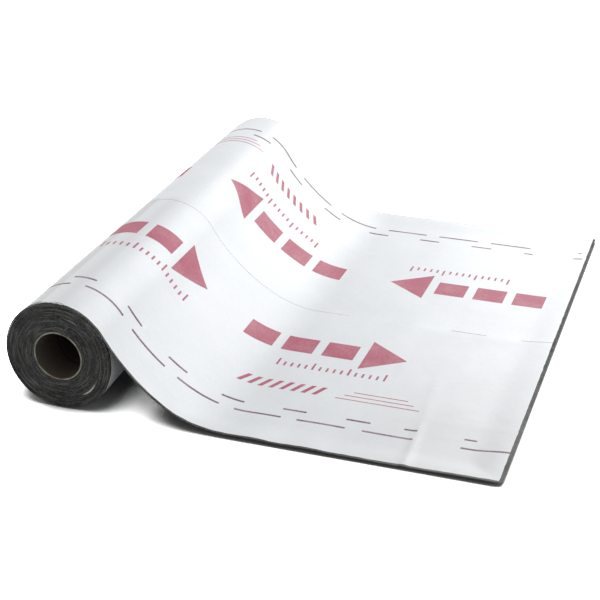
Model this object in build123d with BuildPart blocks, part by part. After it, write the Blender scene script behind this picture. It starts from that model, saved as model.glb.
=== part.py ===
from build123d import *
import os
from math import cos, radians, sin

# A roll of self-adhering roofing membrane, lying on its side with its first part pulled off over the top and
# laid flat. The membrane is one continuous sheet: it leaves the roll along a line high on its side, sags, and
# lands on the floor. It is wound on a plain cardboard tube. Lengths are in millimetres and angles in degrees.
# X is the way the sheet is pulled, Y the roll's axis, Z up. The origin is on the floor, in the middle of the
# whole piece.

# Membrane sheet
sheet_width = 914.4
sheet_thickness = 1.0
flat_length = 407.0

# Wound roll, measured over its last turn
roll_diameter = 176.0
turns_per_step = 3
turn_drift = 1.5
drift_turn = 137.5

# Fall of the sheet from the roll to the floor, seen from the end of the roll
peel_angle = 31.3
landing_angle = 28.4
landing_radius = 178.0

# Cardboard tube
core_bore = 76.2
core_wall = 2.3
core_clearance = 0.1

roll_radius = roll_diameter / 2
core_radius = core_bore / 2 + core_wall
first_turn_radius = core_radius + core_clearance

# The sheet's upper face falls as two tangent arcs, a wide one and then a tighter one that ends flat on the
# floor.
peel_slope = 90 - peel_angle
fall_height = roll_radius * (1 + sin(radians(peel_angle))) - sheet_thickness
landing_height = landing_radius * (1 - cos(radians(landing_angle)))
sag_radius = (fall_height - landing_height) / (cos(radians(landing_angle)) - cos(radians(peel_slope)))
sag_length = sag_radius * (sin(radians(peel_slope)) - sin(radians(landing_angle)))
landing_length = landing_radius * sin(radians(landing_angle))
reach = roll_radius * cos(radians(peel_angle)) + sag_length + landing_length + flat_length

roll_x = (roll_radius - reach) / 2
roll_axis = Axis((roll_x, 0, roll_radius), (0, 1, 0))
along_roll = Plane(origin=(roll_x, 0, roll_radius), x_dir=(0, 1, 0), z_dir=(1, 0, 0))
across_roll = Plane(origin=(roll_x, 0, roll_radius), x_dir=(1, 0, 0), z_dir=(0, -1, 0))

# Wound turns slide a little along the roll, a few at a time, so its ends are stepped rings. The last turn is
# true.
step_count = round((roll_radius - first_turn_radius) / (turns_per_step * sheet_thickness))
step_height = (roll_radius - first_turn_radius) / step_count

with BuildPart() as membrane:
    with BuildSketch(along_roll) as wound_section:
        for step in range(step_count):
            drift = turn_drift * sin(radians(drift_turn * step))
            with Locations((drift, roll_radius - step_height * (step + 1))):
                Rectangle(sheet_width, step_height, align=(Align.CENTER, Align.MIN))
    revolve(axis=roll_axis)

    with BuildSketch(across_roll) as pulled_section:
        with BuildLine() as upper_face:
            peel_point = Vector(roll_radius, 0).rotate(Axis.Z, peel_angle)
            peel_direction = Vector(0, -1).rotate(Axis.Z, peel_angle)
            sag = JernArc(peel_point, peel_direction, sag_radius, peel_slope - landing_angle)
            landing = JernArc(sag @ 1, sag % 1, landing_radius, landing_angle)
            Line(landing @ 1, landing @ 1 + Vector(flat_length, 0))
            offset(amount=sheet_thickness, side=Side.RIGHT, closed=True)
        make_face()
    extrude(amount=sheet_width / 2, both=True)

with BuildPart() as core_tube:
    with BuildSketch(across_roll) as tube_section:
        Circle(core_radius)
        Circle(core_bore / 2, mode=Mode.SUBTRACT)
    extrude(amount=sheet_width / 2, both=True)

membrane.part.label = "membrane"
core_tube.part.label = "core_tube"

os.makedirs("parts", exist_ok=True)
export_step(membrane.part, "parts/membrane.step")
export_step(core_tube.part, "parts/core_tube.step")
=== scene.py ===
from math import cos, pi, radians, sin

import bmesh
import bpy
from mathutils import Matrix, Vector, noise
from mathutils.geometry import intersect_point_line


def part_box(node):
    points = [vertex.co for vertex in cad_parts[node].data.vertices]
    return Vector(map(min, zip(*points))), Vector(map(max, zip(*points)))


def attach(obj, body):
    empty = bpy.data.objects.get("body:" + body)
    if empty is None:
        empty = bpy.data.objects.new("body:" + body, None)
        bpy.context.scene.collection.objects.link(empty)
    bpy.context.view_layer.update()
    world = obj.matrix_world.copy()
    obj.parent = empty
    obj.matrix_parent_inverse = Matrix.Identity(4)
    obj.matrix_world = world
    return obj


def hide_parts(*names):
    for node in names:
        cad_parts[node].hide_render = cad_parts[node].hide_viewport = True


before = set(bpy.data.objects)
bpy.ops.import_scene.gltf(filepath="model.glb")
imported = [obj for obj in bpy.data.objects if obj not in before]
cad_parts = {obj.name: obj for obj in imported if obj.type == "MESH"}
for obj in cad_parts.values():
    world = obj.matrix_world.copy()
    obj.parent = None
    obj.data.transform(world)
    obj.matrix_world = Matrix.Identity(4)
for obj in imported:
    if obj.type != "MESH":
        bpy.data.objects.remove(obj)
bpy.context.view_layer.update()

scene = bpy.context.scene


# Camera: a long lens in front of the roll's near end, above it, and a little to the side that the sheet is
# pulled to. Its place is measured from the point on the floor below the middle of the roll's axis.
roll_low, roll_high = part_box("core_tube")
axis_x = (roll_low.x + roll_high.x) / 2
axis_z = (roll_low.z + roll_high.z) / 2

camera_offset = Vector((1.0006, -2.2446, 1.1441))
camera_turn = radians(18.92)
camera_tilt = radians(25.52)
camera_roll = radians(-0.08)
focal_pixels = 1501.3
picture_pixels = 600
sensor_mm = 36.0

camera_data = bpy.data.cameras.new("camera")
camera_data.sensor_width = sensor_mm
camera_data.lens = focal_pixels / picture_pixels * sensor_mm
camera_data.clip_start = 0.05
camera_data.clip_end = 60.0
camera = bpy.data.objects.new("camera", camera_data)
scene.collection.objects.link(camera)
camera.matrix_world = (
    Matrix.Translation(camera_offset + Vector((axis_x, 0.0, 0.0)))
    @ Matrix.Rotation(camera_turn, 4, "Z")
    @ Matrix.Rotation(pi / 2 - camera_tilt, 4, "X")
    @ Matrix.Rotation(camera_roll, 4, "Z")
)
scene.camera = camera


# Winding: one sheet of rubberised asphalt with a white film on its outer face, wound on the tube. It leaves
# the roll along the peel line, high on its side, and sags to the floor as two tangent arcs. Along is the
# length of sheet past the peel line, negative back into the roll, and across is from its middle.
sheet_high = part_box("membrane")[1]
sheet_width = 0.9144
half_width = sheet_width / 2
sheet_thickness = 0.001
roll_radius = axis_z
core_radius = (roll_high.z - roll_low.z) / 2
peel_angle = radians(31.3)
landing_angle = radians(28.4)
landing_radius = 0.178

peel_slope = pi / 2 - peel_angle
fall_height = roll_radius * (1 + sin(peel_angle)) - sheet_thickness
landing_height = landing_radius * (1 - cos(landing_angle))
sag_radius = (fall_height - landing_height) / (cos(landing_angle) - cos(peel_slope))
sag_length = sag_radius * (peel_slope - landing_angle)
landing_length = landing_radius * landing_angle
floor_along = sag_length + landing_length
floor_x = (
    axis_x
    + roll_radius * cos(peel_angle)
    + sag_radius * (sin(peel_slope) - sin(landing_angle))
    + landing_radius * sin(landing_angle)
)
end_along = floor_along + sheet_high.x - floor_x
last_turn = 2 * pi * roll_radius

# The outer turns have slackened low on the near end, where a gap has opened under them.
slack_turns = 17
slack_gap = 0.0018
slack_angle = radians(-43)
slack_spread = radians(30)
slack_reach = 0.10


def smooth(value):
    value = min(max(value, 0.0), 1.0)
    return value * value * (3 - 2 * value)


def near_angle(angle, middle, spread):
    """1 at the middle angle, falling smoothly to 0 this far to each side of it round the roll."""
    off = abs((angle - middle + pi) % (2 * pi) - pi)
    return smooth(1 - off / spread)


def wound_radius(turns, angle, across):
    """Outer radius of the sheet, this many turns in from the peel line."""
    radius = roll_radius - sheet_thickness * turns
    slack = near_angle(angle, slack_angle, slack_spread) * smooth(1 - (across + half_width) / slack_reach)
    return radius + slack_gap * slack * smooth(slack_turns + 0.5 - turns)


def sheet_line(along, across):
    """Point of the outer face and its outward normal, in the plane of the roll's end, before any wrinkle."""
    if along <= 0:
        turned = -along / roll_radius
        angle = peel_angle + turned
        radius = wound_radius(turned / (2 * pi), angle, across)
        return axis_x + radius * cos(angle), axis_z + radius * sin(angle), cos(angle), sin(angle)
    sag_x = axis_x + (roll_radius + sag_radius) * cos(peel_angle)
    sag_z = axis_z + (roll_radius + sag_radius) * sin(peel_angle)
    if along < sag_length:
        angle = pi + peel_angle + along / sag_radius
        centre_x, centre_z, radius = sag_x, sag_z, sag_radius
    elif along < floor_along:
        angle = 3 * pi / 2 - (floor_along - along) / landing_radius
        centre_x, centre_z, radius = floor_x, sheet_thickness + landing_radius, landing_radius
    else:
        return floor_x + along - floor_along, sheet_thickness, 0.0, 1.0
    return centre_x + radius * cos(angle), centre_z + radius * sin(angle), -cos(angle), -sin(angle)


# Lie of the sheet: it was pulled off a little askew, so it wanders towards its near side. Its cut edges and
# free end stand a few millimetres off the floor, and near its corner it has ripples and faint creases.
wander = 0.0084
near_edge_lift = 0.0060
far_edge_lift = 0.0040
edge_band = 0.055
end_lift = 0.0052
end_band = 0.060
mean_lift = 0.9
uneven_lift = 0.35
uneven_length = 0.16
uneven_width = 0.30
settled_share = 0.55
wave_height = 0.0016
wave_size = 0.21
fall_waves = 0.0004
fall_wave_length = 0.09
fall_wave_width = 0.16
ripple_height = 0.0013
ripple_length = 0.088
ripple_start = 0.215
ripple_rise = 0.06
ripple_end = 0.47
ripple_fade = 0.10
ripple_band = 0.13

# Each crease: the (along, across) points it runs between, its height, and its reach to each side.
creases = {
    "across the corner": ((0.520, -0.470), (0.513, -0.330), 0.0014, 0.014),
    "fading inwards": ((0.513, -0.330), (0.503, -0.190), 0.0006, 0.020),
    "towards the free end": ((0.516, -0.312), (0.650, -0.309), 0.0005, 0.014),
    "along the middle": ((0.420, -0.014), (0.660, -0.014), 0.0014, 0.060),
}


def patchy(along, across, length, width, seed):
    """A soft random value, about -1 to 1, in patches of this length and width."""
    return noise.noise((along / length, across / width, seed))


def crease_lift(along, across):
    """Height of the soft ridges that stand along the creases."""
    lift = 0.0
    place = Vector((along, across, 0.0))
    for start, end, height, width in creases.values():
        nearest, share = intersect_point_line(place, Vector((*start, 0.0)), Vector((*end, 0.0)))
        share = min(max(share, 0.0), 1.0)
        nearest = Vector((*start, 0.0)).lerp(Vector((*end, 0.0)), share)
        lift = max(lift, height * max(1 - (place - nearest).length / width, 0.0) ** 2)
    return lift


def sheet_lift(along, across):
    """How far the sheet stands off its true line."""
    on_floor = smooth((along / floor_along - settled_share) / (1 - settled_share))
    edge_lift = near_edge_lift if across < 0 else far_edge_lift
    edge = smooth((abs(across) - half_width + edge_band) / edge_band)
    end = smooth((along - end_along + end_band) / end_band)
    uneven = mean_lift + uneven_lift * patchy(along, across, uneven_length, uneven_width, 4.0)
    lift = on_floor * uneven * max(edge_lift * edge, end_lift * end)
    wave = 0.5 + 0.5 * patchy(along, across, wave_size, wave_size, 9.0)
    lift += on_floor * wave_height * wave
    near = smooth(1 - (across + half_width) / ripple_band)
    run = smooth((along - ripple_start) / ripple_rise) * smooth((ripple_end - along) / ripple_fade)
    lift += ripple_height * near * run * (1 + sin(2 * pi * along / ripple_length)) / 2
    lift += crease_lift(along, across)
    lift += (1 - on_floor) * fall_waves * patchy(along, across, fall_wave_length, fall_wave_width, 2.0)
    return lift


def sheet_wander(along):
    return wander * smooth(along / floor_along)


def on_sheet(along, across, above=0.0):
    """Point on the sheet, above its outer face by the given height."""
    x, z, normal_x, normal_z = sheet_line(along, across)
    raised = sheet_lift(along, across) + above
    return Vector((x + normal_x * raised, across - sheet_wander(along), z + normal_z * raised))


# Asphalt: the rubberised asphalt of the sheet, soft and nearly black, which shows on its edges and its back.
# It has a fine grain, and greyer scuffs and dusty patches where it has been handled; on the lower left of the
# roll's ends the grey is laid heavier as painted light.
asphalt_black = (0.004, 0.004, 0.005, 1)
asphalt_grey = (0.029, 0.029, 0.027, 1)
asphalt_dust_and_light = (0.155, 0.155, 0.148, 1)


def material(name):
    made = bpy.data.materials.new(name)
    made.use_nodes = True
    made.node_tree.nodes.clear()
    return made


def node(tree, kind, **settings):
    made = tree.nodes.new(kind)
    for key, value in settings.items():
        if key in made.inputs:
            made.inputs[key].default_value = value
        else:
            setattr(made, key, value)
    return made


def grey(level):
    return (level, level, level, 1)


def noise_at(tree, coordinates, scale, detail=4.0, roughness=0.55):
    made = node(tree, "ShaderNodeTexNoise", Scale=scale, Detail=detail, Roughness=roughness)
    tree.links.new(coordinates, made.inputs["Vector"])
    return made.outputs["Fac"]


def ramp(tree, value, low, high, low_colour=(0, 0, 0, 1), high_colour=(1, 1, 1, 1)):
    """The low colour up to the low value, the high colour from the high value, and a blend between."""
    made = node(tree, "ShaderNodeValToRGB")
    made.color_ramp.elements[0].position = low
    made.color_ramp.elements[0].color = low_colour
    made.color_ramp.elements[1].position = high
    made.color_ramp.elements[1].color = high_colour
    tree.links.new(value, made.inputs["Fac"])
    return made.outputs["Color"]


def blend_colours(tree, factor, first, second, way="MIX"):
    """A mix of two colours. Each value is a plain one or another node's output. Of the Mix node's sockets,
    0 is the factor, 6 and 7 are the two colours, and output 2 is their mix."""
    made = node(tree, "ShaderNodeMix", data_type="RGBA", blend_type=way)
    for socket, value in ((made.inputs[0], factor), (made.inputs[6], first), (made.inputs[7], second)):
        if isinstance(value, bpy.types.NodeSocket):
            tree.links.new(value, socket)
        else:
            socket.default_value = value
    return made.outputs[2]


def bumps(tree, height, strength, distance, onto=None):
    made = node(tree, "ShaderNodeBump", Strength=strength, Distance=distance)
    tree.links.new(height, made.inputs["Height"])
    if onto:
        tree.links.new(onto, made.inputs["Normal"])
    return made.outputs["Normal"]


def asphalt_colour(tree, coordinates):
    grain = ramp(tree, noise_at(tree, coordinates, 170, 6, 0.78), 0.38, 0.62, asphalt_black, asphalt_grey)
    patches = ramp(tree, noise_at(tree, coordinates, 45, 5, 0.65), 0.40, 0.66)
    specks = ramp(tree, noise_at(tree, coordinates, 330, 5, 0.75), 0.50, 0.62)
    dusty = blend_colours(tree, 1.0, patches, specks, "MULTIPLY")
    # This attribute holds real wear together with painted light and shade.
    wear_and_painted_light = node(tree, "ShaderNodeAttribute", attribute_name="wear_and_painted_light").outputs["Fac"]
    dust_and_painted_light = blend_colours(tree, wear_and_painted_light, grain, asphalt_dust_and_light)
    return blend_colours(tree, dusty, dust_and_painted_light, asphalt_dust_and_light)


asphalt = material("asphalt")
tree = asphalt.node_tree
place = node(tree, "ShaderNodeTexCoord").outputs["Object"]
surface = node(tree, "ShaderNodeBsdfPrincipled")
surface.inputs["Specular IOR Level"].default_value = 0.32
tree.links.new(asphalt_colour(tree, place), surface.inputs["Base Color"])
roughness = ramp(tree, noise_at(tree, place, 60), 0.3, 0.7, grey(0.5), grey(0.72))
tree.links.new(roughness, surface.inputs["Roughness"])
grainy = bumps(tree, noise_at(tree, place, 700, 4), 0.5, 0.0004)
tree.links.new(bumps(tree, noise_at(tree, place, 90, 4), 0.5, 0.0012, grainy), surface.inputs["Normal"])
tree.links.new(surface.outputs[0], node(tree, "ShaderNodeOutputMaterial").inputs["Surface"])


# Film: white polymer film, satin and faintly blue, bonded to the asphalt in the factory, which leaves it
# finely crinkled. It greys where its edge is torn, and towards the near corner of the free end as painted
# shade.
film_white = (0.745, 0.77, 0.79, 1)
film_shade = (0.69, 0.715, 0.745, 1)
film_torn_and_shaded = (0.56, 0.565, 0.57, 1)

film = material("film")
tree = film.node_tree
place = node(tree, "ShaderNodeTexCoord").outputs["Object"]
mottle = ramp(tree, noise_at(tree, place, 9, 5, 0.6), 0.3, 0.7, film_shade, film_white)
speckle = ramp(tree, noise_at(tree, place, 240, 4, 0.6), 0.25, 0.75, grey(0.94), grey(1.0))
white = blend_colours(tree, 1.0, mottle, speckle, "MULTIPLY")
wear_and_painted_light = node(tree, "ShaderNodeAttribute", attribute_name="wear_and_painted_light").outputs["Fac"]
surface = node(tree, "ShaderNodeBsdfPrincipled", Roughness=0.38)
tree.links.new(blend_colours(tree, wear_and_painted_light, white, film_torn_and_shaded), surface.inputs["Base Color"])
crinkle = bumps(tree, noise_at(tree, place, 130, 5, 0.6), 0.22, 0.0006)
wrinkles = bumps(tree, noise_at(tree, place, 38, 3, 0.5), 0.16, 0.0020, crinkle)
swells = bumps(tree, noise_at(tree, place, 11, 4, 0.5), 0.28, 0.004, wrinkles)
tree.links.new(swells, surface.inputs["Normal"])
tree.links.new(surface.outputs[0], node(tree, "ShaderNodeOutputMaterial").inputs["Surface"])


# Pulled sheet: the last turn, the fall and the stretch on the floor, as one closed sheet whose back is held a
# hair off the next turn. The film stops a few millimetres short of its edges and of its free end, which was
# cut a little out of square, and is torn along the near edge to the left of the roll's top. The bare dark
# asphalt on the near edge and the free end is widened to paint in the shadow that lines them.
# Painted shadow: the bare margins on the near edge and the free end are partly bare asphalt, partly a dark
# band that stands in for the shadow along them.
near_bare_and_shadow = 0.0045
far_bare = 0.0010
end_bare_and_shadow = 0.0052
back_depth = 0.95 * sheet_thickness
ragged_edge = 0.0009
ragged_length = 0.014
cut_lean = 0.0115
cut_true = 0.0113
along_steps = 250
across_steps = 112

# Painted shade: the film is greyed in soft patches towards the near corner of the free end, where the light
# falls off.
corner_shade = 0.50
corner_shade_from = 0.34
corner_shade_over = 0.20
corner_shade_side = 0.35
corner_shade_patch = 0.07
corner_shade_contrast = 0.5

frayed_turns = 5
frayed_angle = radians(112)
frayed_spread = radians(50)
frayed_pattern = (5.0, 2.3)
frayed_contrast = 1.6
frayed_out = 0.0016
torn_margin = 0.0068

# Columns: where the points of the sheet's mesh lie across it, in even steps over the film.
film_start = -half_width + near_bare_and_shadow
film_width = sheet_width - near_bare_and_shadow - far_bare
film_columns = [film_start + film_width * i / across_steps for i in range(across_steps + 1)]
even_columns = [-half_width] + film_columns + [half_width]


def end_at(across):
    return end_along + cut_lean * (cut_true - across)


def section_rows(columns):
    """(across, depth) round the sheet's section: over its outer face from the near edge, and back below."""
    top = [(across, 0.0) for across in columns]
    back = [(across, back_depth) for across in reversed(columns)]
    return top + back + top[:1]


def lay_strip(name, stations, columns, placed, bare_stations=0):
    """A closed strip, with film on its outer face but for a bare row along each edge and the bare stations.
    placed(station, across, depth) gives a section point and how worn it is, with painted light and shade
    added in."""
    strip = bmesh.new()
    rows = section_rows(columns)
    film_rows = range(1, len(columns) - 2)
    bmesh.ops.create_grid(strip, x_segments=stations, y_segments=len(rows) - 1, size=0.5)
    for face in strip.faces:
        middle = face.calc_center_median()
        row = int((middle.y + 0.5) * (len(rows) - 1))
        station = int((middle.x + 0.5) * stations)
        covered = row in film_rows and station < stations - bare_stations
        face.material_index = 0 if covered else 1
        face.smooth = True
    wear_and_painted_light = strip.verts.layers.float.new("wear_and_painted_light")
    for vertex in strip.verts:
        station = round((vertex.co.x + 0.5) * stations)
        across, depth = rows[round((vertex.co.y + 0.5) * (len(rows) - 1))]
        vertex.co, vertex[wear_and_painted_light] = placed(station, across, depth)
    bmesh.ops.remove_doubles(strip, verts=strip.verts, dist=1e-6)
    ends = bmesh.ops.holes_fill(strip, edges=[edge for edge in strip.edges if edge.is_boundary], sides=0)
    for face in ends["faces"]:
        face.material_index = 1
        face.smooth = False
    bmesh.ops.recalc_face_normals(strip, faces=strip.faces)
    mesh = bpy.data.meshes.new(name)
    strip.to_mesh(mesh)
    strip.free()
    mesh.materials.append(film)
    mesh.materials.append(asphalt)
    mesh.set_sharp_from_angle(angle=radians(40))
    made = bpy.data.objects.new(name, mesh)
    scene.collection.objects.link(made)
    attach(made, "root")
    return made


def painted_corner_shade(along, across):
    """How grey the film is painted, as shade, most towards the near corner of the free end."""
    uneven = 1 + corner_shade_contrast * patchy(along, across, corner_shade_patch, corner_shade_patch, 6.0)
    return corner_shade * uneven * smooth((along - corner_shade_from) / corner_shade_over) * smooth(-across / corner_shade_side)


def round_roll(angle, turns, pattern, seed=(0.0, 0.0)):
    """A soft random value round the roll. A pattern is its fineness and its change from turn to turn."""
    fineness, change = pattern
    return noise.noise(Vector((cos(angle), sin(angle), 0.0)) * fineness + Vector((*seed, turns * change)))


def fraying(turns, across):
    """How torn the edge is, from 0 to 1: most on the near end's outer turns, left of the roll's top."""
    if turns < 0 or across > 0:
        return 0.0
    angle = peel_angle + 2 * pi * (turns % 1)
    torn = smooth(0.5 + frayed_contrast * round_roll(angle, turns, frayed_pattern))
    return torn * near_angle(angle, frayed_angle, frayed_spread) * smooth(1 - turns / frayed_turns)


def sheet_along(station):
    """Along for a station: even steps to the film's end, and one more to the sheet's."""
    film_steps = along_steps - 1
    if station > film_steps:
        return end_along
    return -last_turn + (end_along - end_bare_and_shadow + last_turn) * station / film_steps


def sheet_station(station, across, depth):
    """Point of the pulled sheet, and the greater of its tear and its painted shade. Its film ends raggedly,
    and its free end leans.
    """
    along = sheet_along(station)
    torn = fraying(-along / last_turn, across)
    if across in (film_columns[0], film_columns[-1]):
        across += ragged_edge * noise.noise((along / ragged_length, across, 8.0)) + torn_margin * torn
    if station == along_steps - 1:
        along += ragged_edge * noise.noise((across / ragged_length, 3.0, 8.0))
    on_floor = max(along - floor_along, 0.0) / (end_along - floor_along)
    along += on_floor * (end_at(across) - end_along)
    return on_sheet(along, across, -depth), max(torn, painted_corner_shade(along, across))


pulled = lay_strip("pulled_sheet", along_steps, even_columns, sheet_station, 1)
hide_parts("membrane")


# Wound turns: the rest of the same sheet, every turn of it modelled. Its edges make the roll's dark ends,
# where the turns have slid and been rubbed by handling, greyer on the lower left as painted light, and here
# and there one shows a hair of white film.
steps_per_turn = 90
tube_clearance = 0.0001
turn_count = (roll_radius - core_radius - tube_clearance) / sheet_thickness - 1
wound_steps = round((turn_count - 1) * steps_per_turn)
wound_bare = 0.0010
slid_edge = 1.5 * wound_bare
frayed_edge = 0.5 * wound_bare
turn_drift = 0.0016
turn_drift_change = 0.31
turn_jitter = 0.0013
turn_jitter_pattern = (1.6, 0.9)
turn_fray = 0.0007
turn_fray_pattern = (9.0, 1.9)
handled_patches = 0.6
handled_pattern = (2.3, 0.7)
handled_contrast = 2.2
# Painted light: the dust is laid heavier on the lower left of the roll's ends, so that side reads lighter and
# the right darker.
dust_and_painted_light = 0.11
painted_light_angle = radians(215)
painted_light_spread = radians(80)
painted_light_from = 3
painted_light_over = 6
near_columns = [0.0, wound_bare, slack_reach / 5, slack_reach / 2, slack_reach]
wound_columns = [-half_width + inset for inset in near_columns] + [half_width - wound_bare, half_width]


def wound_station(station, across, depth):
    """Point of a wound turn, and how dusty or torn it is, with painted light on the lower left. Its edges
    alone show, so they alone slide and fray.
    """
    turns = 1 + station / steps_per_turn
    angle = peel_angle + 2 * pi * (turns % 1)
    radius = wound_radius(turns, angle, across) - depth
    point = Vector((axis_x + radius * cos(angle), across, axis_z + radius * sin(angle)))
    side = 1 if across > 0 else -1
    from_edge = half_width - abs(across)
    if from_edge < slid_edge:
        point.y += turn_drift * noise.noise((turns * turn_drift_change, 6.0, side))
        point.y += turn_jitter * round_roll(angle, turns, turn_jitter_pattern, (0.0, side))
        point.y += turn_fray * round_roll(angle, turns, turn_fray_pattern, (side, 5.0))
    handled = round_roll(angle, turns, handled_pattern, (side, 3.0))
    handled = handled_patches * smooth(handled_contrast * handled)
    painted_light_turn = smooth((turns - painted_light_from) / painted_light_over)
    handled += dust_and_painted_light * near_angle(angle, painted_light_angle, painted_light_spread) * painted_light_turn
    frayed = fraying(turns, across)
    if from_edge < frayed_edge:
        point.y -= frayed_out * frayed
    return point, max(handled, frayed)


wound = lay_strip("wound_turns", wound_steps, wound_columns, wound_station)
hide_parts("membrane")


# Printing: rose ink on the film. Rows of dashes mark the side laps and a fine line the middle. Between them
# run plain arrows, ticks, slanted bars and ruled lines. Each mark is a thin skin that follows the sheet.
ink_height = 0.0001
ink_sunk = 0.0002
outer_dash = 0.0762
inner_dash = 0.0381
dash_period = 0.1016
dash_stroke = 0.0044
far_drift = 0.0080

marks = bmesh.new()


def mark(points, ink=0):
    """A flat mark through (along, across) points, as drawn on the sheet before it is wound."""
    face = marks.faces.new([marks.verts.new((along, across, 0)) for along, across in points])
    face.material_index = ink


def bar(start, end, across, stroke, ink=0):
    """A straight mark along the sheet, cut off at the ends of the printed length."""
    start = max(start, -last_turn)
    end = min(end, end_at(across) - end_bare_and_shadow)
    low, high = across - stroke / 2, across + stroke / 2
    if end > start:
        mark([(start, low), (end, low), (end, high), (start, high)], ink)


def dashes(across, length, phase, first, last, stroke=dash_stroke):
    """What shows between two places along the sheet of a row of dashes, one of which starts at the phase."""
    count = int((first - phase) // dash_period)
    while phase + count * dash_period < last:
        start = phase + count * dash_period
        bar(max(start, first), min(start + length, last), across, stroke, 1)
        count += 1


def arrow(tip, across, way):
    """A solid arrow, its shaft in three blocks. way is 1 towards the free end, and -1 back to the roll."""
    head, half_head, block, gap, half_shaft = 0.070, 0.050, 0.054, 0.016, 0.025
    back = tip - way * head
    mark([(tip, across), (back, across + half_head), (back, across - half_head)][::way])
    for i in range(3):
        near = tip - way * (head + gap + i * (block + gap))
        bar(min(near, near - way * block), max(near, near - way * block), across, 2 * half_shaft)


def ticks(start, across, count, way):
    """A row of short ticks, each fifth one longer."""
    pitch, stroke, short, long = 0.012, 0.0035, 0.013, 0.022
    for i in range(count):
        tip = across + way * (long if i % 5 == 0 else short)
        at = start + i * pitch
        mark([(at, across), (at + stroke, across), (at + stroke, tip), (at, tip)][::way])


def slanted_bars(start, across, count, way):
    """A row of bars that lean towards the free end for a way of 1, and back to the roll for -1."""
    pitch, stroke, tall, lean = 0.018, 0.0075, 0.026, 0.012
    for i in range(count):
        at = start + i * pitch
        low, high = across - tall / 2, across + tall / 2
        mark([(at, low), (at + stroke, low), (at + stroke + way * lean, high), (at + way * lean, high)])


def ruled_lines(start, length, across):
    """Three fine lines, each shorter than the last."""
    pitch, stroke = 0.012, 0.0022
    for i in range(3):
        inset = pitch * i
        bar(start + inset, start + length - inset, across + pitch * (i - 1), stroke)


# Each lap row: its place across the sheet, its dashes' length, where one of them starts, how far along the
# row is whole, and the stretches that are left of it past that, where the ink has worn off.
lap_rows = {
    "near outer": (0.0762 - half_width, outer_dash, 0.2292, 0.425, ((0.4340, 0.5120), (0.5845, 0.6700))),
    "near inner": (0.1016 - half_width, inner_dash, 0.3002, 0.440, ((0.4925, 0.5125), (0.5845, 0.6035))),
    "far outer": (half_width - 0.0832, outer_dash, 0.2617, 0.5505, ((0.6320, 0.6380),)),
    "far inner": (half_width - 0.1090, inner_dash, 0.2297, 0.5505, ((0.6270, 0.6430),)),
}
for across, length, phase, whole_to, remains in lap_rows.values():
    dashes(across, length, phase, -last_turn, whole_to)
    for start, end in remains:
        bar(start, end, across, dash_stroke, 1)

# The line along the middle is fine as far as it is whole, and bolder in what is left of it past that.
middle_line = -0.014
middle_stroke = 0.0010
middle_whole_to = 0.30
middle_remains = ((0.482, 0.542), (0.601, end_along))
dashes(middle_line, dash_period, 0.0, -last_turn, middle_whole_to, middle_stroke / 2)
for start, end in middle_remains:
    bar(start, end, middle_line, middle_stroke, 1)

# The design between the laps: on the near side it points to the free end, on the far side to the roll.
arrow_row = 0.145
tick_row = 0.222
tick_count = 16
near_ticks_from = -0.20
far_ticks_from = 0.02
for tip in (-0.300, 0.070, 0.440):
    arrow(tip, -arrow_row, 1)
    ticks(tip + near_ticks_from, -tick_row, tick_count, 1)
for tip in (-0.410, -0.040, 0.330):
    arrow(tip, arrow_row, -1)
    ticks(tip + far_ticks_from, tick_row, tick_count, -1)
hatch_row = 0.285
hatch_count = 8
for start in (-0.375, 0.200):
    slanted_bars(start, -hatch_row, hatch_count, 1)
for start in (-0.570, 0.005):
    slanted_bars(start, hatch_row, hatch_count, -1)
ruled_shift = 0.030
ruled_lines(0.365, 0.135, -hatch_row)
ruled_lines(-0.160, 0.125, hatch_row + ruled_shift)

# The marks are cut where the sheet's mesh bends, shifted as the print has wandered, given their thickness
# and only then laid on the sheet.
for station in range(along_steps + 1):
    at = sheet_along(station)
    geometry = marks.verts[:] + marks.edges[:] + marks.faces[:]
    bmesh.ops.bisect_plane(marks, geom=geometry, dist=1e-7, plane_co=(at, 0, 0), plane_no=(1, 0, 0))
for vertex in marks.verts:
    far_side = smooth(vertex.co.y / half_width) * (1 - smooth(vertex.co.x / floor_along))
    vertex.co.y += far_drift * far_side + sheet_wander(vertex.co.x)
for at in even_columns:
    geometry = marks.verts[:] + marks.edges[:] + marks.faces[:]
    bmesh.ops.bisect_plane(marks, geom=geometry, dist=1e-7, plane_co=(0, at, 0), plane_no=(0, 1, 0))
skin = bmesh.ops.extrude_face_region(marks, geom=marks.faces[:], use_keep_orig=True)
for vertex in marks.verts:
    vertex.co.z = -ink_sunk
for item in skin["geom"]:
    if isinstance(item, bmesh.types.BMVert):
        item.co.z = ink_height
bmesh.ops.recalc_face_normals(marks, faces=marks.faces)
for vertex in marks.verts:
    vertex.co = on_sheet(vertex.co.x, vertex.co.y, vertex.co.z)
print_mesh = bpy.data.meshes.new("printing")
marks.to_mesh(print_mesh)
marks.free()
printing = bpy.data.objects.new("printing", print_mesh)
scene.collection.objects.link(printing)

# Each ink: its colour, and its colour where it is worn.
inks = {
    "rose_ink": ((0.40, 0.095, 0.143, 1), (0.47, 0.19, 0.24, 1)),
    "lap_ink": ((0.140, 0.083, 0.103, 1), (0.38, 0.28, 0.32, 1)),
}
for name, (full, worn) in inks.items():
    ink = material(name)
    tree = ink.node_tree
    place = node(tree, "ShaderNodeTexCoord").outputs["Object"]
    surface = node(tree, "ShaderNodeBsdfPrincipled", Roughness=0.5)
    surface.inputs["Specular IOR Level"].default_value = 0.3
    fading = blend_colours(tree, 0.5, noise_at(tree, place, 300, 5, 0.7), noise_at(tree, place, 22, 3))
    tree.links.new(ramp(tree, fading, 0.44, 0.66, full, worn), surface.inputs["Base Color"])
    tree.links.new(bumps(tree, noise_at(tree, place, 130, 5, 0.6), 0.2, 0.0006), surface.inputs["Normal"])
    tree.links.new(surface.outputs[0], node(tree, "ShaderNodeOutputMaterial").inputs["Surface"])
    print_mesh.materials.append(ink)
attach(printing, "root")


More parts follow.
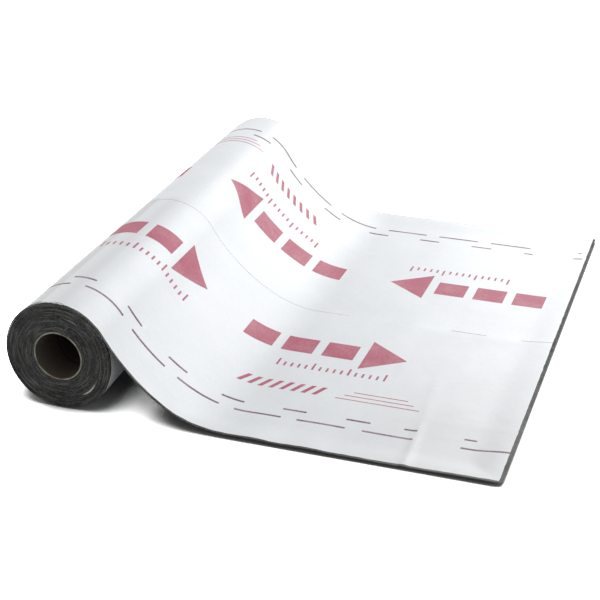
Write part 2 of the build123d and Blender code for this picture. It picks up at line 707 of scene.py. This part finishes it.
# Lifted film: slivers of the white film that have come away from the edges of the turns on the near end, a
# wide one in the gap under the slack turns and ragged ones on the outermost. Each one leans off its turn.
# Of each: the angles it runs between, the turn it is on, its width, its lean, and how far it is held back.
slivers = {
    "in the gap": (radians(-61), radians(-25), slack_turns + 1, 0.0040, 0.0024, 0.0),
    "over the top": (radians(76), radians(104), -0.2, 0.0042, 0.0006, 0.0030),
    "left of the top": (radians(96), radians(128), -0.2, 0.0048, 0.0008, 0.0022),
    "beside it": (radians(104), radians(146), 1.6, 0.0052, 0.0016, 0.0),
    "at the left": (radians(138), radians(171), 3.6, 0.0040, 0.0016, 0.0),
}
sliver_thickness = 0.0001
sliver_clear = 0.0004
sliver_sunk = 0.35
sliver_taper = 0.7
sliver_fullness = 0.85
sliver_ragged = 0.4
sliver_notches = 9.0
sliver_steps = 32
sliver_rows = 4


def tear(low, high, turns, width, lean, inset):
    """A sliver between two angles, tapering to its ends, that leans off its turn."""
    sliver = bmesh.new()
    bmesh.ops.create_grid(sliver, x_segments=sliver_steps, y_segments=sliver_rows, size=0.5)
    for vertex in sliver.verts:
        share = vertex.co.x + 0.5
        raised = (vertex.co.y + 0.5) * sin(pi * share) ** sliver_taper
        angle = low + (high - low) * share
        radius = roll_radius - sheet_thickness * turns + sliver_clear + lean * raised * raised
        notch = noise.noise((share * sliver_notches, 5.0 * turns, 1.0))
        proud = width * (raised * (sliver_fullness + sliver_ragged * notch) - sliver_sunk) - inset
        vertex.co = (axis_x + radius * cos(angle), -half_width - proud, axis_z + radius * sin(angle))
    bmesh.ops.recalc_face_normals(sliver, faces=sliver.faces)
    bmesh.ops.solidify(sliver, geom=sliver.faces[:], thickness=sliver_thickness)
    for face in sliver.faces:
        face.smooth = True
    return sliver


sliver_mesh = bpy.data.meshes.new("lifted_film")
all_slivers = bmesh.new()
for shape in slivers.values():
    sliver = tear(*shape)
    sliver.to_mesh(sliver_mesh)
    sliver.free()
    all_slivers.from_mesh(sliver_mesh)
all_slivers.to_mesh(sliver_mesh)
all_slivers.free()
sliver_mesh.set_sharp_from_angle(angle=radians(50))
lifted = bpy.data.objects.new("lifted_film", sliver_mesh)
scene.collection.objects.link(lifted)
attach(lifted, "root")

torn_white = (0.72, 0.72, 0.70, 1)
torn_grey = (0.45, 0.45, 0.44, 1)
torn_film = material("torn_film")
tree = torn_film.node_tree
place = node(tree, "ShaderNodeTexCoord").outputs["Object"]
surface = node(tree, "ShaderNodeBsdfPrincipled", Roughness=0.5)
shades = ramp(tree, noise_at(tree, place, 260, 4), 0.35, 0.7, torn_grey, torn_white)
tree.links.new(shades, surface.inputs["Base Color"])
tree.links.new(bumps(tree, noise_at(tree, place, 400, 4), 0.3, 0.0003), surface.inputs["Normal"])
tree.links.new(surface.outputs[0], node(tree, "ShaderNodeOutputMaterial").inputs["Surface"])
sliver_mesh.materials.append(torn_film)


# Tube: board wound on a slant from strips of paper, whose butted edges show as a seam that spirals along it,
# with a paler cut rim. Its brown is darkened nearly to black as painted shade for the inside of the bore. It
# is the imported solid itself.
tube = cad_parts["core_tube"]
# Painted shade: the board's colours are darkened to stand in for the shade inside the bore.
board_dark_shaded = (0.030, 0.022, 0.016, 1)
board_brown_shaded = (0.060, 0.044, 0.031, 1)
board_seam = (0.012, 0.009, 0.007, 1)
board_rim = (0.36, 0.35, 0.28, 1)
rim_shade = (0.11, 0.10, 0.08, 1)
rim_depth = 0.0006
strip_pitch = 0.085
seam_share = 0.02

board = material("board")
tree = board.node_tree
place = node(tree, "ShaderNodeTexCoord").outputs["Object"]
parts = node(tree, "ShaderNodeSeparateXYZ")
tree.links.new(place, parts.inputs[0])
along_tube = node(tree, "ShaderNodeMath", operation="ABSOLUTE")
tree.links.new(parts.outputs["Y"], along_tube.inputs[0])
rim = node(tree, "ShaderNodeMapRange")
rim.inputs["From Min"].default_value = half_width - rim_depth
rim.inputs["From Max"].default_value = half_width - rim_depth / 3
tree.links.new(along_tube.outputs[0], rim.inputs["Value"])
from_axis = node(tree, "ShaderNodeMapping", Location=(-axis_x, 0.0, -axis_z))
tree.links.new(place, from_axis.inputs["Vector"])
round_tube = node(tree, "ShaderNodeSeparateXYZ")
tree.links.new(from_axis.outputs[0], round_tube.inputs[0])
turn = node(tree, "ShaderNodeMath", operation="ARCTAN2")
tree.links.new(round_tube.outputs["Z"], turn.inputs[0])
tree.links.new(round_tube.outputs["X"], turn.inputs[1])
slant = node(tree, "ShaderNodeMath", operation="MULTIPLY_ADD")
tree.links.new(turn.outputs[0], slant.inputs[0])
slant.inputs[1].default_value = strip_pitch / (2 * pi)
tree.links.new(round_tube.outputs["Y"], slant.inputs[2])
strip = node(tree, "ShaderNodeMath", operation="PINGPONG")
tree.links.new(slant.outputs[0], strip.inputs[0])
strip.inputs[1].default_value = strip_pitch / 2
seam_width = seam_share * strip_pitch
seam = ramp(tree, strip.outputs[0], 0.3 * seam_width, seam_width)
fibres = ramp(tree, noise_at(tree, place, 350, 6, 0.7), 0.3, 0.75, board_dark_shaded, board_brown_shaded)
seamed = blend_colours(tree, seam, board_seam, fibres)
rim_board = ramp(tree, noise_at(tree, place, 60, 5, 0.6), 0.36, 0.60, rim_shade, board_rim)
surface = node(tree, "ShaderNodeBsdfPrincipled", Roughness=0.85)
tree.links.new(blend_colours(tree, rim.outputs[0], seamed, rim_board), surface.inputs["Base Color"])
tree.links.new(bumps(tree, noise_at(tree, place, 500, 5, 0.7), 0.4, 0.0004), surface.inputs["Normal"])
tree.links.new(surface.outputs[0], node(tree, "ShaderNodeOutputMaterial").inputs["Surface"])
tube.data.materials.clear()
tube.data.materials.append(board)


# Floor and light: a pale studio floor, an even sky, a broad soft sun from the side that the sheet is pulled
# to, and two large soft lamps, behind the sheet and beside the roll. The camera sees the floor as white
# paper, which darkens close in under the object, where little light reaches it.
floor_grey = 0.50
mirrored_white = 1.25
floor_reach = 30.0
contact_reach = 0.06
contact_dark = 0.47
contact_clear = 0.80
contact_samples = 16
paper_white = 4.2
paper_shade = 0.30
sky_strength = 0.52
key_side = Vector((1.05, 0.0, 1.0))
key_strength = 1.0
key_spread = radians(85)
floor_mesh = bpy.data.meshes.new("floor")
ground = bmesh.new()
bmesh.ops.create_grid(ground, x_segments=1, y_segments=1, size=floor_reach)
ground.to_mesh(floor_mesh)
ground.free()
floor = bpy.data.objects.new("floor", floor_mesh)
scene.collection.objects.link(floor)


def backdrop_rays(tree):
    """1 on the rays that see the pale background: the camera's, and mirrored or clear ones."""
    path = node(tree, "ShaderNodeLightPath")
    seen_by = path.outputs["Is Camera Ray"]
    for kind in ("Is Glossy Ray", "Is Transmission Ray"):
        both = node(tree, "ShaderNodeMath", operation="MAXIMUM")
        tree.links.new(seen_by, both.inputs[0])
        tree.links.new(path.outputs[kind], both.inputs[1])
        seen_by = both.outputs[0]
    return seen_by


floor_paint = material("floor_paint")
tree = floor_paint.node_tree
plain = node(tree, "ShaderNodeBsdfDiffuse", Color=grey(floor_grey))
mirrored = node(tree, "ShaderNodeBsdfDiffuse", Color=grey(mirrored_white))
openness = node(tree, "ShaderNodeAmbientOcclusion", Distance=contact_reach)
openness.samples = contact_samples
paper = node(tree, "ShaderNodeMapRange")
paper.inputs["From Min"].default_value = contact_dark
paper.inputs["From Max"].default_value = contact_clear
paper.inputs["To Min"].default_value = paper_shade
paper.inputs["To Max"].default_value = paper_white
tree.links.new(openness.outputs["AO"], paper.inputs["Value"])
seen = node(tree, "ShaderNodeBsdfDiffuse")
tree.links.new(paper.outputs["Result"], seen.inputs["Color"])
choose_paint = node(tree, "ShaderNodeMixShader")
tree.links.new(backdrop_rays(tree), choose_paint.inputs[0])
tree.links.new(plain.outputs[0], choose_paint.inputs[1])
tree.links.new(mirrored.outputs[0], choose_paint.inputs[2])
choose = node(tree, "ShaderNodeMixShader")
tree.links.new(node(tree, "ShaderNodeLightPath").outputs["Is Camera Ray"], choose.inputs[0])
tree.links.new(choose_paint.outputs[0], choose.inputs[1])
tree.links.new(seen.outputs[0], choose.inputs[2])
tree.links.new(choose.outputs[0], node(tree, "ShaderNodeOutputMaterial").inputs["Surface"])
floor_mesh.materials.append(floor_paint)

world = bpy.data.worlds.new("studio")
world.use_nodes = True
scene.world = world
tree = world.node_tree
tree.nodes.clear()
even = node(tree, "ShaderNodeBackground", Color=grey(1.0), Strength=sky_strength)
backdrop = node(tree, "ShaderNodeBackground", Color=grey(1.0), Strength=1.0)
choose = node(tree, "ShaderNodeMixShader")
tree.links.new(backdrop_rays(tree), choose.inputs[0])
tree.links.new(even.outputs[0], choose.inputs[1])
tree.links.new(backdrop.outputs[0], choose.inputs[2])
tree.links.new(choose.outputs[0], node(tree, "ShaderNodeOutputWorld").inputs["Surface"])

key_data = bpy.data.lights.new("key", "SUN")
key_data.energy = key_strength
key_data.angle = key_spread
key = bpy.data.objects.new("key", key_data)
scene.collection.objects.link(key)
key.rotation_euler = key_side.to_track_quat("Z", "Y").to_euler()

# Each lamp: its watts, its size, where it hangs and what it is aimed at.
lamps = {
    "back_lamp": (24.0, 1.6, Vector((0.5, 1.75, 1.0)), Vector((0.1, 0.3, 0.0))),
    "side_lamp": (9.0, 1.4, Vector((-1.9, 0.2, 0.7)), Vector((axis_x, 0.0, 0.0))),
}
for name, (watts, size, place, aim) in lamps.items():
    lamp_data = bpy.data.lights.new(name, "AREA")
    lamp_data.energy = watts
    lamp_data.size = size
    lamp = bpy.data.objects.new(name, lamp_data)
    scene.collection.objects.link(lamp)
    lamp.location = place
    lamp.rotation_euler = (place - aim).to_track_quat("Z", "Y").to_euler()

scene.view_settings.view_transform = "Standard"
